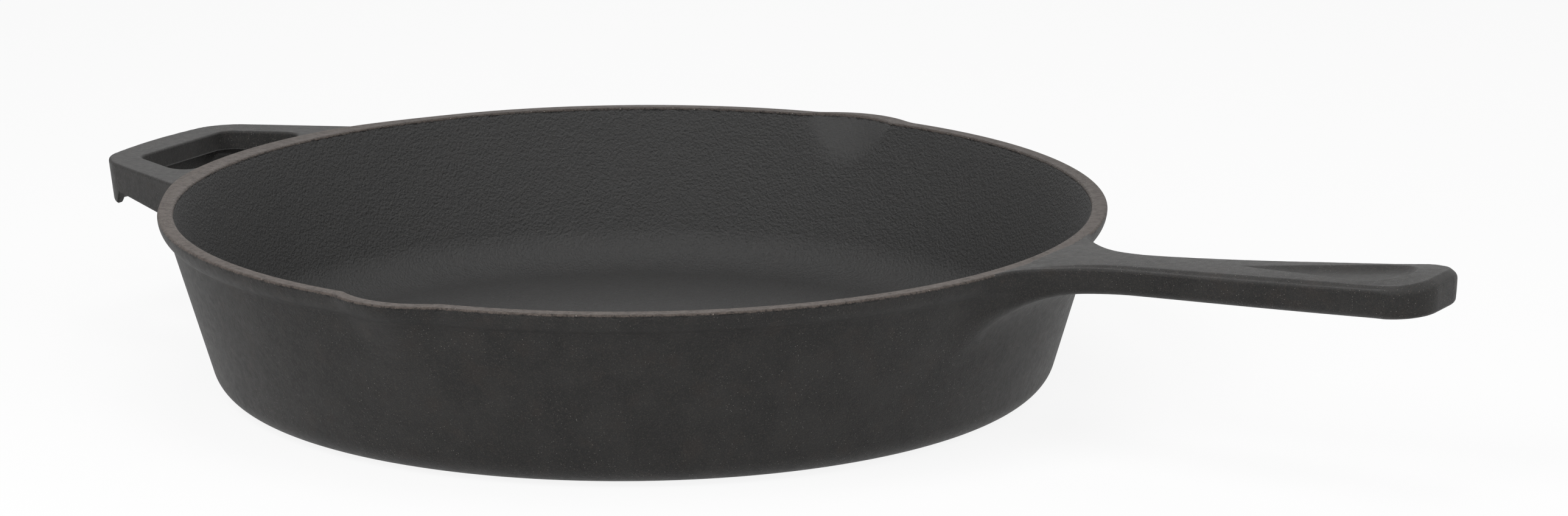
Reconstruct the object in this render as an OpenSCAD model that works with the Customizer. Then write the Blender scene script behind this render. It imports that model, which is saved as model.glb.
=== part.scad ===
// Cast iron skillet with a long handle, a helper handle and two pour spouts.
// The pan is one casting. Each named region of it is a node of its own, and the
// regions meet face to face. The origin is at the centre of the base's underside,
// +Z is up and +X runs along the long handle.

/* [Pan] */
// Outer radius of the ground rim
rim_r = 152; // [120:1:180]
// Height of the ground rim above the table
pan_h = 57.7; // [48:0.1:75]
// Lean of the side wall from the vertical, in degrees
wall_draft = 16.4; // [8:0.1:24]
// Level thickness of the side wall
wall_t = 3.2; // [2.4:0.1:5]
// Thickness of the floor
floor_t = 5; // [3:0.1:7]
// Radius of the rounded foot, outside between floor and wall
foot_r = 10.6; // [5:0.1:13]
// Radius of the cove, inside between floor and wall
cove_r = 18; // [10:0.5:24]

/* [Rim band] */
// Depth of the thickened band below the rim
band_h = 6.6; // [5:0.1:6.8]
// How far the band stands out from the line of the wall
band_proud = 1.7; // [0.8:0.1:2.6]
// Step from the band's lower edge in to the wall
band_step = 0.5; // [0.1:0.1:1]
// Straight stretch between the rim's outer edge and the bulge
rim_edge_h = 0.5; // [0.2:0.1:1.5]
// Width of the small bevel on the rim's inner edge
rim_bevel = 0.5; // [0.2:0.1:1]

/* [Pour spouts] */
// Direction of the front spout, in degrees from the long handle
front_spout_deg = -87.5; // [-100:0.5:-80]
// Direction of the rear spout, in degrees from the long handle
rear_spout_deg = 90; // [80:0.5:100]
// Width of a spout along the rim
spout_w = 35; // [24:1:45]
// How far a spout stands out from the rim
spout_out = 4.8; // [2:0.1:7]
// Depth below the rim at which the scoop inside a spout fades out
scoop_drop = 15; // [10:0.5:20]
// Depth below the rim at which the bulge outside a spout fades out
bulge_drop = 22; // [16:0.5:28]

/* [Long handle] */
// Distance from the rim to the tip of the handle
handle_reach = 131; // [115:0.5:170]
// Half width of the shank at its narrowest
shank_half_w = 10.6; // [8:0.1:14]
// Distance from the rim to the narrowest place of the shank
waist_reach = 30; // [24:1:40]
// Half width of the grip at its widest
grip_half_w = 18.6; // [14:0.1:24]
// Thickness of the shank at its long edges
shank_t = 9.2; // [7:0.1:12]
// Thickness of the grip at its long edges
grip_t = 10.2; // [8:0.1:13]
// Rise of the handle from the rim to the tip
handle_rise = 8.9; // [0:0.1:20]
// Height of the crowned top over its long edges, at the grip
crown = 1.2; // [0.5:0.1:2.5]
// Radius in plan at the corners of the tip
tip_r = 13.5; // [8:0.5:14]
// Radius in plan of the flare where the shank runs into the wall
root_flare_r = 38; // [24:1:50]
// Radius seen from the side of the gusset under the root
root_gusset_r = 46; // [30:1:60]
// Distance from the rim at which the gusset starts under the shank
gusset_reach = 16; // [10:1:22]
// Rounding of the handle's long lower edges
belly_r = 2.6; // [1:0.1:3.5]
// Rounding of the handle's long upper edges
edge_r = 0.9; // [0.4:0.1:1.5]
// Level narrowing of the handle's sides from top to bottom
side_draft = 1.2; // [0:0.1:2]

/* [Grip recess] */
// Length of the teardrop recess in the grip's top
recess_len = 58; // [40:1:68]
// Half width of the recess at its round end
recess_half_w = 11.6; // [6:0.1:12.5]
// Depth of the recess
recess_depth = 2.2; // [1:0.1:3]
// Distance from the recess's round end to the tip
recess_to_tip = 10.5; // [7.5:0.5:16]

/* [Helper handle] */
// Distance from the rim to the outer face of the helper handle
helper_reach = 40.2; // [32:0.1:50]
// Half width of the helper handle beside the rim
helper_half_w = 49.5; // [44:0.1:60]
// Level width of the crossbar
bar_w = 12.5; // [9:0.1:16]
// Level width of each arm beside the rim
arm_w = 13.2; // [9:0.1:16]
// Narrowing of the helper handle for each mm outwards
helper_taper = 0.45; // [0.2:0.01:0.6]
// Radius in plan at the outer corners
helper_corner_r = 19; // [8:0.5:20]
// Bow of the crossbar's outer face between its corners
bar_bow = 3.2; // [0.4:0.1:4]
// Level narrowing of the outer faces from the top down to the lip's edge
lip_draft = 2.4; // [0.5:0.1:3.5]
// Radius of the window's corners beside the crossbar
window_bar_r = 6.5; // [3:0.5:9]
// Radius of the window's corners beside the rim
window_rim_r = 6; // [3:0.5:7]
// Thickness of the helper handle's top plate
plate_t = 6.5; // [5:0.1:8]
// Thickness of the turned-down lip and arm skirts
lip_t = 3.2; // [2.5:0.1:4.5]
// Depth of the lip below the plate
lip_h = 8.5; // [7:0.1:12]
// Depth of an arm's skirt below the plate, beside the rim
skirt_h = 6.1; // [4.5:0.1:6.8]
// How far the skirt's lower edge climbs from the rim to the crossbar
skirt_climb = 3.4; // [0:0.1:4]
// Extra width of the rim along the helper handle
helper_pad = 2.6; // [1:0.1:4]
// Step from the rim down to the helper handle's top face
helper_step = 0.4; // [0.2:0.1:1.5]

/* [Hidden] */

iron = [0.17, 0.165, 0.16];
ground_iron = [0.36, 0.33, 0.31];

// How far a cutter reaches past what it cuts, on its free sides
over = 1;
// Steps of a rounded corner, and sides of a full ring
arc_steps = 8;
ring_fn = 180;

// ---- profile of the pan, in radius and height ----
draft_run = tan(wall_draft);
draft_cos = cos(wall_draft);
wall_top_r = rim_r - band_proud;
wall_foot_r = wall_top_r - pan_h * draft_run;
function outer_r(z) = wall_foot_r + z * draft_run;
function inner_r(z) = outer_r(z) - wall_t;

// Centres of the foot's and the cove's rounding
foot_c = [outer_r(foot_r) - foot_r / draft_cos, foot_r];
cove_z = floor_t + cove_r;
cove_c = [inner_r(cove_z) - cove_r / draft_cos, cove_z];
floor_r = cove_c[0];

// The band's side is an arc, upright below the rim, that ends a step out from the wall
band_z = pan_h - band_h;
band_run = rim_r - outer_r(band_z) - band_step;
band_fall = band_h - rim_edge_h;
band_r = (pow(band_run, 2) + pow(band_fall, 2)) / (2 * band_run);
band_c = [rim_r - band_r, pan_h - rim_edge_h];
band_turn = asin(band_fall / band_r);

function arc(c, r, a0, a1, n) = [
    for (i = [0:n]) let (a = a0 + (a1 - a0) * i / n) c + r * [cos(a), sin(a)]
];

foot_arc = arc(foot_c, foot_r, -90, -wall_draft, arc_steps);
cove_arc = arc(cove_c, cove_r, -wall_draft, -90, arc_steps);
band_arc = arc(band_c, band_r, -band_turn, 0, arc_steps);

// Outside of the band going up, and the rim's inner edge going down
rim_side = concat([[outer_r(band_z), band_z]], band_arc, [[rim_r, pan_h]]);
bevel_z = pan_h - 2 * rim_bevel;
rim_inside = [[inner_r(pan_h) + rim_bevel, pan_h], [inner_r(bevel_z), bevel_z]];

module turned(points, deg0 = 0, deg1 = 360) {
    rotate([0, 0, deg0])
        rotate_extrude(angle = deg1 - deg0, $fn = ring_fn)
            polygon(points);
}

// The whole outside of the pan as one closed body, for trimming the handles
module pan_outside() {
    top = pan_h + over;
    turned(concat([[0, 0]], foot_arc, rim_side, [[rim_r, top], [0, top]]));
}

// ---- pour spouts ----
spout_half_deg = asin(spout_w / 2 / rim_r);
spout_margin_deg = 1.5;
sector_deg = spout_half_deg + spout_margin_deg;
spout_z0 = pan_h - bulge_drop;

// A wedge that holds one spout's sector of the wall and the rim
module spout_sector(deg) {
    far_r = rim_r + spout_out + over;
    translate([0, 0, spout_z0])
        linear_extrude(pan_h - spout_z0 + over)
            polygon([
                [0, 0],
                far_r * [cos(deg - sector_deg), sin(deg - sector_deg)] / cos(sector_deg),
                far_r * [cos(deg + sector_deg), sin(deg + sector_deg)] / cos(sector_deg)
            ]);
}

// How far a point of the spout moves out: full at the rim, gone at the drop
function spout_share(z, drop) = max(0, 1 - (pan_h - z) / drop);
function spout_push(a, z, drop) =
    let (k = spout_share(z, drop), half = spout_half_deg * max(k, 0.001))
    abs(a) < half ? spout_out * k * (1 - pow(a / half, 2)) : 0;

spout_rows = 6;
spout_outer = concat(
    [for (i = [0:spout_rows - 1])
        let (z = spout_z0 + (band_z - spout_z0) * i / spout_rows) [outer_r(z), z]],
    rim_side
);
spout_inner = concat(
    rim_inside,
    [for (i = [1:spout_rows])
        let (z = bevel_z - (bevel_z - spout_z0) * i / spout_rows) [inner_r(z), z]]
);

// A sector of the wall and the rim, pushed out in the middle
spout_steps = 24;
module pour_spout(deg) {
    loop = concat(
        [for (p = spout_outer) [p[0], p[1], bulge_drop]],
        [for (p = spout_inner) [p[0], p[1], scoop_drop]]
    );
    points = [
        for (i = [0:spout_steps])
            let (a = sector_deg * (2 * i / spout_steps - 1))
            for (p = loop)
                let (r = p[0] + spout_push(a, p[1], p[2]))
                [r * cos(deg + a), r * sin(deg + a), p[1]]
    ];
    loft(points, len(loop), spout_steps);
}

// Closed body over rings of m points each, with flat ends
module loft(points, m, steps) {
    sides = [
        for (i = [0:steps - 1], j = [0:m - 1])
            let (k = (j + 1) % m)
            each [
                [i * m + j, i * m + k, (i + 1) * m + k],
                [i * m + j, (i + 1) * m + k, (i + 1) * m + j]
            ]
    ];
    first = [for (j = [0:m - 1]) m - 1 - j];
    last = [for (j = [0:m - 1]) steps * m + j];
    polyhedron(points, concat(sides, [first], [last]));
}

// ---- long handle ----
tip_x = rim_r + handle_reach;
tip_c_x = tip_x - tip_r;
waist_x = rim_r + waist_reach;
gusset_x = rim_r + gusset_reach;
// The flare and the gusset stop growing inside the rim, where the wall takes over
flare_bury = 3;
flare_end_x = rim_r - flare_bury;
gusset_bury = 14;
gusset_end_x = rim_r - gusset_bury;
// The root reaches into the pan's outline, which trims it
handle_in_x = sqrt(pow(wall_foot_r, 2) - pow(root_flare_r, 2));
// Where the root meets the shank, and the shank meets the grip
root_len = 24;
root_cut_x = rim_r + root_len;
grip_lead = 6;
grip_cut_x = tip_x - recess_to_tip - recess_len - grip_lead;
// Rounding of the tip's upper and lower edge, seen from the side
tip_round = 3.2;
tip_belly_r = 3;

// Height of the long edges of the top face: part of the rise is straight, the rest curves up
handle_lift = 0.2;
straight_share = 0.6;
function edge_z(x) =
    let (t = (x - rim_r) / handle_reach)
    pan_h + handle_lift + handle_rise * (straight_share * t + (1 - straight_share) * t * t);

// Half width in plan, without the rounded tip and the root flare
grip_swell = 1.45;
function grip_share(x) = max(0, min(1, (x - waist_x) / (tip_c_x - waist_x)));
function body_half_w(x) =
    shank_half_w + (grip_half_w - shank_half_w) * pow(grip_share(x), grip_swell);
function handle_thick(x) = shank_t + (grip_t - shank_t) * grip_share(x);
function flare(x) =
    let (run = min(waist_x - x, waist_x - flare_end_x))
    x < waist_x ? root_flare_r - sqrt(max(0, pow(root_flare_r, 2) - pow(run, 2))) : 0;
function tip_inset(x) =
    x > tip_c_x ? tip_r - sqrt(max(0, pow(tip_r, 2) - pow(x - tip_c_x, 2))) : 0;
function half_w(x) = body_half_w(x) + flare(x) - tip_inset(x);

function gusset(x) =
    let (run = min(gusset_x - x, gusset_x - gusset_end_x))
    x < gusset_x ? root_gusset_r - sqrt(max(0, pow(root_gusset_r, 2) - pow(run, 2))) : 0;
function tip_drop(x) =
    let (d = x - (tip_x - tip_round))
    d > 0 ? tip_round - sqrt(max(0, pow(tip_round, 2) - pow(d, 2))) : 0;
function tip_lift(x) =
    let (d = x - (tip_x - tip_belly_r))
    d > 0 ? tip_belly_r - sqrt(max(0, pow(tip_belly_r, 2) - pow(d, 2))) : 0;
function crown_h(x) = crown * pow(half_w(x) / grip_half_w, 2);

// One cross-section of the handle, round from the lower corner at +Y
top_steps = 8;
corner_steps = 4;
function handle_section(x) =
    let (
        w = half_w(x),
        wb = w - side_draft,
        zt = edge_z(x) - tip_drop(x),
        zb = edge_z(x) - handle_thick(x) - gusset(x) + tip_lift(x),
        top_r = min(edge_r, w / 2),
        low_r = min(belly_r, wb / 2),
        flat_w = w - top_r,
        c = crown_h(max(x, waist_x))
    )
    concat(
        arc([wb - low_r, zb + low_r], low_r, -90, 0, corner_steps),
        arc([w - top_r, zt - top_r], top_r, 0, 90, corner_steps),
        [for (i = [1:top_steps - 1])
            let (y = flat_w * (1 - 2 * i / top_steps))
            [y, zt + c * (1 - pow(y / flat_w, 2))]],
        arc([top_r - w, zt - top_r], top_r, 90, 180, corner_steps),
        arc([low_r - wb, zb + low_r], low_r, 180, 270, corner_steps)
    );

module handle_loft(stations) {
    rings = [for (x = stations) [for (p = handle_section(x)) [x, p[0], p[1]]]];
    loft([for (ring = rings) each ring], len(rings[0]), len(stations) - 1);
}
function stations(x0, x1, n) = [for (i = [0:n]) x0 + (x1 - x0) * i / n];
// Stations over the rounded tip crowd together towards its end, which stays a little flat
tip_flat = 0.25;
function tip_stations(n) =
    [for (i = [1:n]) tip_c_x + (tip_r - tip_flat) * sin(90 * i / n)];

// The recess is a round end and a pointed end joined by straight sides, sunk square to the top
recess_point_r = 1.5;
recess_bottom_r = 0.4;
recess_end_x = tip_x - recess_to_tip - recess_half_w;
recess_start_x = tip_x - recess_to_tip - recess_len + recess_point_r;
recess_run = recess_end_x - recess_start_x;
recess_slope = atan((edge_z(recess_end_x) - edge_z(recess_start_x)) / recess_run);
module recess_end(x, r) {
    translate([x, 0, edge_z(x) + crown_h(x)])
        rotate([0, -recess_slope, 0])
            translate([0, 0, -min(recess_depth, r)])
                cylinder(
                    h = recess_depth + over,
                    r1 = max(recess_bottom_r, r - recess_depth),
                    r2 = r + over,
                    $fn = 32
                );
}
module grip_recess() {
    hull() {
        recess_end(recess_end_x, recess_half_w);
        recess_end(recess_start_x, recess_point_r);
    }
}

// ---- helper handle ----
helper_top = pan_h - helper_step;
helper_x = rim_r + helper_reach;
bar_in_x = helper_x - bar_w;
// Where the arms meet the crossbar, beside the window's corners
arm_cut_x = bar_in_x - 2 / 3 * window_bar_r;
window_half_w = helper_half_w - arm_w;
function helper_y(x) = helper_half_w - helper_taper * (x - rim_r);
function window_y(x) = window_half_w - helper_taper * (x - rim_r);

// Corner points [x, y, radius] to an outline with each corner rounded
function rounded(corners, n) = [
    for (i = [0:len(corners) - 1])
        let (
            m = len(corners),
            p = [corners[i][0], corners[i][1]],
            a = [corners[(i + m - 1) % m][0], corners[(i + m - 1) % m][1]] - p,
            b = [corners[(i + 1) % m][0], corners[(i + 1) % m][1]] - p,
            u = a / norm(a),
            v = b / norm(b),
            r = corners[i][2],
            half = acos(u * v) / 2,
            mid = (u + v) / norm(u + v),
            c = p + mid * r / sin(half),
            s = p + u * r / tan(half) - c,
            e = p + v * r / tan(half) - c,
            a0 = atan2(s[1], s[0]),
            turn = atan2(s[0] * e[1] - s[1] * e[0], s * e)
        )
        each r == 0 ? [p] : arc(c, r, a0, a0 + turn, n)
];

// The arms reach into the pan's outline, which trims them
helper_in_x = sqrt(pow(wall_foot_r, 2) - pow(helper_half_w, 2));
taper_cos = cos(atan(helper_taper));
// The crossbar's bow is three straight stretches with softly rounded corners between them
bow_y = helper_y(helper_x) / 3;
bow_soft_r = 2 * helper_corner_r;

// Plan outline of the helper handle, drawn in by an inset on its three outer sides
function helper_outline(inset) =
    let (
        x = helper_x - inset,
        corner_x = x - bar_bow,
        corner_y = helper_y(corner_x) - inset / taper_cos,
        in_y = helper_y(helper_in_x) - inset / taper_cos,
        r = max(1, helper_corner_r - inset)
    )
    rounded([
        [helper_in_x, -in_y, 0],
        [corner_x, -corner_y, r],
        [x, -bow_y, bow_soft_r],
        [x, bow_y, bow_soft_r],
        [corner_x, corner_y, r],
        [helper_in_x, in_y, 0]
    ], arc_steps);

// The window's side towards the pan follows the widened rim
pad_r = rim_r + helper_pad;
window_deg = asin(window_half_w / pad_r);
window_x = pad_r * cos(window_deg);
window_arc_deg = 0.62 * window_deg;
window_arc = arc([0, 0], pad_r - over, window_arc_deg, -window_arc_deg, arc_steps);
window_outline = rounded(concat(
    [
        [bar_in_x, -window_y(bar_in_x), window_bar_r],
        [bar_in_x, window_y(bar_in_x), window_bar_r],
        [window_x, window_y(window_x), window_rim_r]
    ],
    [for (p = window_arc) [p[0], p[1], 0]],
    [[window_x, -window_y(window_x), window_rim_r]]
), arc_steps);

// The widening of the rim spans from one arm's outer side to the other's, a little deeper
// than the plate
pad_deg = asin((helper_half_w - lip_draft) / pad_r);
plate_z = helper_top - plate_t;
pad_lap = 0.5;
module rim_pad() {
    turned([
        [inner_r(band_z), plate_z - pad_lap],
        [pad_r, plate_z - pad_lap],
        [pad_r, helper_top],
        [pad_r - helper_step, pan_h],
        [inner_r(band_z), pan_h]
    ], 180 - pad_deg, 180 + pad_deg);
}

// Side view of what the skirts' lower edges leave, as distance out and height
lip_z = plate_z - lip_h;
lip_x = helper_x - lip_draft - lip_t;
skirt_in_z = plate_z - skirt_h;
skirt_out_z = skirt_in_z + skirt_climb;
helper_elevation = [
    [helper_in_x, skirt_in_z],
    [rim_r, skirt_in_z],
    [lip_x - lip_t, skirt_out_z],
    [lip_x, lip_z],
    [lip_x, lip_z - over],
    [helper_x + over, lip_z - over],
    [helper_x + over, helper_top + over],
    [helper_in_x, helper_top + over]
];

// Solid block inside the drafted outer faces
module helper_block() {
    low = [for (p = helper_outline(lip_draft)) [p[0], p[1], lip_z]];
    high = [for (p = helper_outline(0)) [p[0], p[1], helper_top]];
    loft(concat(high, low), len(low), 1);
}

module helper_whole() {
    rotate([0, 0, 180])
        difference() {
            intersection() {
                helper_block();
                rotate([90, 0, 0])
                    linear_extrude(2 * rim_r, center = true)
                        polygon(helper_elevation);
            }
            translate([0, 0, lip_z - over])
                linear_extrude(lip_h + over)
                    polygon(helper_outline(lip_draft + lip_t));
            translate([0, 0, lip_z - over])
                linear_extrude(helper_top - lip_z + 2 * over)
                    polygon(window_outline);
        }
}

// The part of the helper handle between two distances out and two sides
module helper_slice(x0, x1, y0, y1) {
    difference() {
        intersection() {
            helper_whole();
            translate([-x1, y0, 0])
                cube([x1 - x0, y1 - y0, pan_h + over]);
        }
        pan_outside();
        rim_pad();
    }
}

// ---- the named regions ----
module pan_floor() {
    color(iron)
        cylinder(h = floor_t, r = floor_r, $fn = ring_fn);
}

// The rounded corner between floor and wall, up to where the wall is straight inside
heel_z = cove_arc[0][1];
module heel_ring() {
    color(iron)
        turned(concat([[floor_r, 0]], foot_arc, [[outer_r(heel_z), heel_z]], cove_arc));
}

module side_wall() {
    color(iron)
        difference() {
            turned([
                [outer_r(heel_z), heel_z],
                [outer_r(band_z), band_z],
                [inner_r(band_z), band_z],
                [inner_r(heel_z), heel_z]
            ]);
            spout_sector(front_spout_deg);
            spout_sector(rear_spout_deg);
        }
}

module rim_part(deg0, deg1) {
    color(ground_iron)
        turned(concat(rim_side, rim_inside, [[inner_r(band_z), band_z]]), deg0, deg1);
}

module handle_side_rim() {
    rim_part(front_spout_deg + sector_deg, rear_spout_deg - sector_deg);
}

module helper_side_rim() {
    rim_part(rear_spout_deg + sector_deg, 360 + front_spout_deg - sector_deg);
    color(ground_iron)
        difference() {
            rim_pad();
            pan_outside();
        }
}

module front_pour_spout() {
    color(iron)
        pour_spout(front_spout_deg);
}

module rear_pour_spout() {
    color(iron)
        pour_spout(rear_spout_deg);
}

module handle_root() {
    color(iron)
        difference() {
            handle_loft(stations(handle_in_x, root_cut_x, 19));
            pan_outside();
        }
}

module handle_shank() {
    color(iron)
        handle_loft(stations(root_cut_x, grip_cut_x, 8));
}

module handle_grip() {
    color(iron)
        difference() {
            handle_loft(concat(stations(grip_cut_x, tip_c_x, 16), tip_stations(10)));
            grip_recess();
        }
}

module helper_crossbar() {
    color(iron)
        helper_slice(arm_cut_x, helper_x + over, -helper_half_w, helper_half_w);
}

module helper_front_arm() {
    color(iron)
        helper_slice(helper_in_x, arm_cut_x, -rim_r, 0);
}

module helper_rear_arm() {
    color(iron)
        helper_slice(helper_in_x, arm_cut_x, 0, rim_r);
}

pan_floor();
heel_ring();
side_wall();
handle_side_rim();
helper_side_rim();
front_pour_spout();
rear_pour_spout();
handle_root();
handle_shank();
handle_grip();
helper_crossbar();
helper_front_arm();
helper_rear_arm();
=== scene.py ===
"""Looks of a cast iron skillet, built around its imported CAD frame.

The pan is one casting, so its surfaces run on from piece to piece. Lengths are in millimetres
until a mesh is made, in the frame of the CAD model: the origin is at the centre of the
underside, +Z is up and +X runs along the long handle.
"""
import itertools
import math

import bmesh
import bpy
import numpy as np
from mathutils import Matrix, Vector


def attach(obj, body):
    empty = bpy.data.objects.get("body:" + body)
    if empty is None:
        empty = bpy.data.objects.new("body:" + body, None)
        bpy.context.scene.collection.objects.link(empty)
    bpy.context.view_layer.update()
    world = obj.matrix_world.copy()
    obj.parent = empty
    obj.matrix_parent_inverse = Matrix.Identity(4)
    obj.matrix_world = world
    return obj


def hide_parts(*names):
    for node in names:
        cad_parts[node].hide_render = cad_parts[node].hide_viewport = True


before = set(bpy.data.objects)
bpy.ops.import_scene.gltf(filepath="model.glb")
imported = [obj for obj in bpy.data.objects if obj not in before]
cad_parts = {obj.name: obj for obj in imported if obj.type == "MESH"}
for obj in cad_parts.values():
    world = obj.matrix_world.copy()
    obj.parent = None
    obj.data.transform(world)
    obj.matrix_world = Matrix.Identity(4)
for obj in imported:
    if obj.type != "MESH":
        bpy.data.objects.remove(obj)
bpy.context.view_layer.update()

# ---- sizes, in mm and degrees, as in the CAD model ----
RIM_R = 152.0
PAN_H = 57.7
DRAFT_DEG = 16.4
DRAFT = math.tan(math.radians(DRAFT_DEG))
DRAFT_COS = math.cos(math.radians(DRAFT_DEG))
DRAFT_SIN = math.sin(math.radians(DRAFT_DEG))
WALL_T = 3.2
FLOOR_T = 5.0
FOOT_R = 10.6
COVE_R = 18.0
BAND_H = 6.6
BAND_PROUD = 1.7
BAND_STEP = 0.5
RIM_EDGE_H = 0.5

SPOUT_W = 35.0
SPOUT_OUT = 4.76
SPOUT_HALF = math.degrees(math.asin(SPOUT_W / 2 / RIM_R))
SPOUT_MARGIN = 1.5
SPOUT_SECTOR = SPOUT_HALF + SPOUT_MARGIN
SCOOP_DROP = 15.0
BULGE_DROP = 22.0
FRONT_SPOUT = -87.5
REAR_SPOUT = 90.0

HANDLE_REACH = 131.0
SHANK_HALF_W = 10.6
WAIST_REACH = 30.0
GRIP_HALF_W = 18.6
GRIP_SWELL = 1.45
SHANK_T = 9.2
GRIP_T = 10.2
HANDLE_RISE = 8.9
HANDLE_LIFT = 0.2
STRAIGHT_SHARE = 0.6
CROWN = 1.2
TIP_R = 13.5
FLARE_R = 38.0
FLARE_BURY = 5.5
FLARE_SOFT = 12.0
GUSSET_R = 46.0
GUSSET_REACH = 16.0
GUSSET_BURY = 14.0
BELLY_R = 2.6
EDGE_R = 0.9
SIDE_DRAFT = 1.2
ROOT_LEN = 24.0
GRIP_LEAD = 6.0
RECESS_LEN = 58.0
RECESS_HALF_W = 11.6
RECESS_DEPTH = 2.2
RECESS_TO_TIP = 10.5

HELPER_REACH = 40.2
HELPER_HALF_W = 49.5
BAR_W = 12.5
ARM_W = 13.2
HELPER_TAPER = 0.45
HELPER_CORNER_R = 19.0
BAR_BOW = 3.2
LIP_DRAFT = 1.5
WINDOW_BAR_R = 6.5
WINDOW_RIM_R = 6.0
PLATE_T = 6.5
LIP_T = 3.2
LIP_H = 8.5
SKIRT_H = 6.1
SKIRT_CLIMB = 3.4
HELPER_PAD = 2.6
HELPER_STEP = 0.4
PAD_LAP = 0.5

MM = 0.001

# ---- places that follow from the sizes ----
WALL_FOOT_R = RIM_R - BAND_PROUD - PAN_H * DRAFT
BAND_Z = PAN_H - BAND_H
BAND_FALL = BAND_H - RIM_EDGE_H
TIP_X = RIM_R + HANDLE_REACH
TIP_C_X = TIP_X - TIP_R
WAIST_X = RIM_R + WAIST_REACH
ROOT_CUT_X = RIM_R + ROOT_LEN
RECESS_START_X = TIP_X - RECESS_TO_TIP - RECESS_LEN
GRIP_CUT_X = RECESS_START_X - GRIP_LEAD
HELPER_TOP = PAN_H - HELPER_STEP
HELPER_X = RIM_R + HELPER_REACH
BAR_IN_X = HELPER_X - BAR_W
ARM_CUT_X = BAR_IN_X - 2 / 3 * WINDOW_BAR_R
PAD_R = RIM_R + HELPER_PAD
PLATE_Z = HELPER_TOP - PLATE_T
LIP_Z = PLATE_Z - LIP_H
LIP_X = HELPER_X - LIP_DRAFT - LIP_T


def outer_r(z):
    return WALL_FOOT_R + z * DRAFT


def inner_r(z):
    return outer_r(z) - WALL_T


BAND_RUN = RIM_R - outer_r(BAND_Z) - BAND_STEP
BAND_R = (BAND_RUN**2 + BAND_FALL**2) / (2 * BAND_RUN)
COVE_Z = FLOOR_T + COVE_R
FLOOR_R = inner_r(COVE_Z) - COVE_R / DRAFT_COS
HEEL_Z = COVE_Z - COVE_R * DRAFT_SIN
FOOT_X = outer_r(FOOT_R) - FOOT_R / DRAFT_COS
FOOT_TOP = FOOT_R * (1 - DRAFT_SIN)
SPOUT_Z = PAN_H - BULGE_DROP


# ---- fields: below zero inside, in mm; smooth joins give the casting its fillets ----
def smooth_min(a, b, k):
    """Lowest of two fields, with a fillet where they are within k of each other."""
    h = np.maximum(k - np.abs(a - b), 0) / k
    return np.minimum(a, b) - h**3 * k / 6


def smooth_max(a, b, k):
    return -smooth_min(-a, -b, k)


def round_max(a, b, r):
    """Highest of two fields, with the edge between them rounded to radius r."""
    return np.minimum(np.maximum(a, b), -r) + np.hypot(np.maximum(a + r, 0), np.maximum(b + r, 0))


def ease(lo, hi, v):
    """0 below lo, 1 above hi, and a soft step between."""
    t = np.clip((v - lo) / (hi - lo), 0, 1)
    return t * t * (3 - 2 * t)


# ---- the pan's section ----
CREASE_K = 1.6
BAND_EDGE_R = 0.8
RIM_OUT_R = 0.8
RIM_IN_R = 1.0
# radii of the grid's rings on the flats
BASE_RINGS = (2, 30, 60, 90, 110)
FLOOR_RINGS = (112, 96, 72, 44, 20, 2)
# heights kept free beside the foot's and the rim's arcs, and a run of closer rows under the band
FOOT_LEAD = 2.0
RIM_LEAD = 0.6
BAND_LEAD = 2.5


def pan_side(r, z):
    """Field of the pan's outside, as a solid body of revolution that goes on above the rim."""
    wall = (r - outer_r(np.minimum(z, PAN_H))) * DRAFT_COS
    arc = np.hypot(r - (RIM_R - BAND_R), z - (PAN_H - RIM_EDGE_H)) - BAND_R
    side = np.where(z > PAN_H - RIM_EDGE_H, r - RIM_R, arc)
    band = round_max(side, BAND_Z - z, BAND_EDGE_R)
    return smooth_min(wall, band, CREASE_K)


def pan_outside(r, z):
    return round_max(pan_side(r, z), z - PAN_H, RIM_OUT_R)


HALVINGS = 42


def side_radius(z):
    """Radius at which pan_outside is zero, at a height, by halving."""
    lo = np.full_like(z, 0.0)
    hi = np.full_like(z, 2 * RIM_R)
    for _ in range(HALVINGS):
        mid = (lo + hi) / 2
        out = pan_outside(mid, z) > 0
        hi = np.where(out, mid, hi)
        lo = np.where(out, lo, mid)
    return (lo + hi) / 2


def arc_points(cx, cz, r, a0, a1, n):
    """n + 1 points on an arc from angle a0 to a1, in degrees."""
    a = np.radians(np.linspace(a0, a1, n + 1))
    return np.stack([cx + r * np.cos(a), cz + r * np.sin(a)], 1)


def upright(z0, z1, n, radius):
    """n points at the radius of each height from z0 to just short of z1."""
    z = np.linspace(z0, z1, n, endpoint=False)
    return np.stack([radius(z), z], 1)


def level(radii, z):
    """Points at one height."""
    return [[r, z] for r in radii]


def outside_rows():
    """Stretches (points, name) from the underside's centre up the outside to the rim's top."""
    return [
        (level(BASE_RINGS, 0), None),
        (level([FLOOR_R], 0), "floor_out"),
        (arc_points(FOOT_X, FOOT_R, FOOT_R, -90, -DRAFT_DEG, 18), None),
        (upright(FOOT_TOP + FOOT_LEAD, HEEL_Z, 4, outer_r), None),
        (upright(HEEL_Z, SPOUT_Z, 10, outer_r), "heel_out"),
        (upright(SPOUT_Z, BAND_Z - BAND_LEAD, 12, outer_r), "spout_out"),
        (upright(BAND_Z - BAND_LEAD, BAND_Z, 8, side_radius), None),
        (upright(BAND_Z, PAN_H - RIM_OUT_R, 18, side_radius), "band_out"),
        (arc_points(RIM_R - RIM_OUT_R, PAN_H - RIM_OUT_R, RIM_OUT_R, 0, 90, 5), None),
    ]


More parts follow.
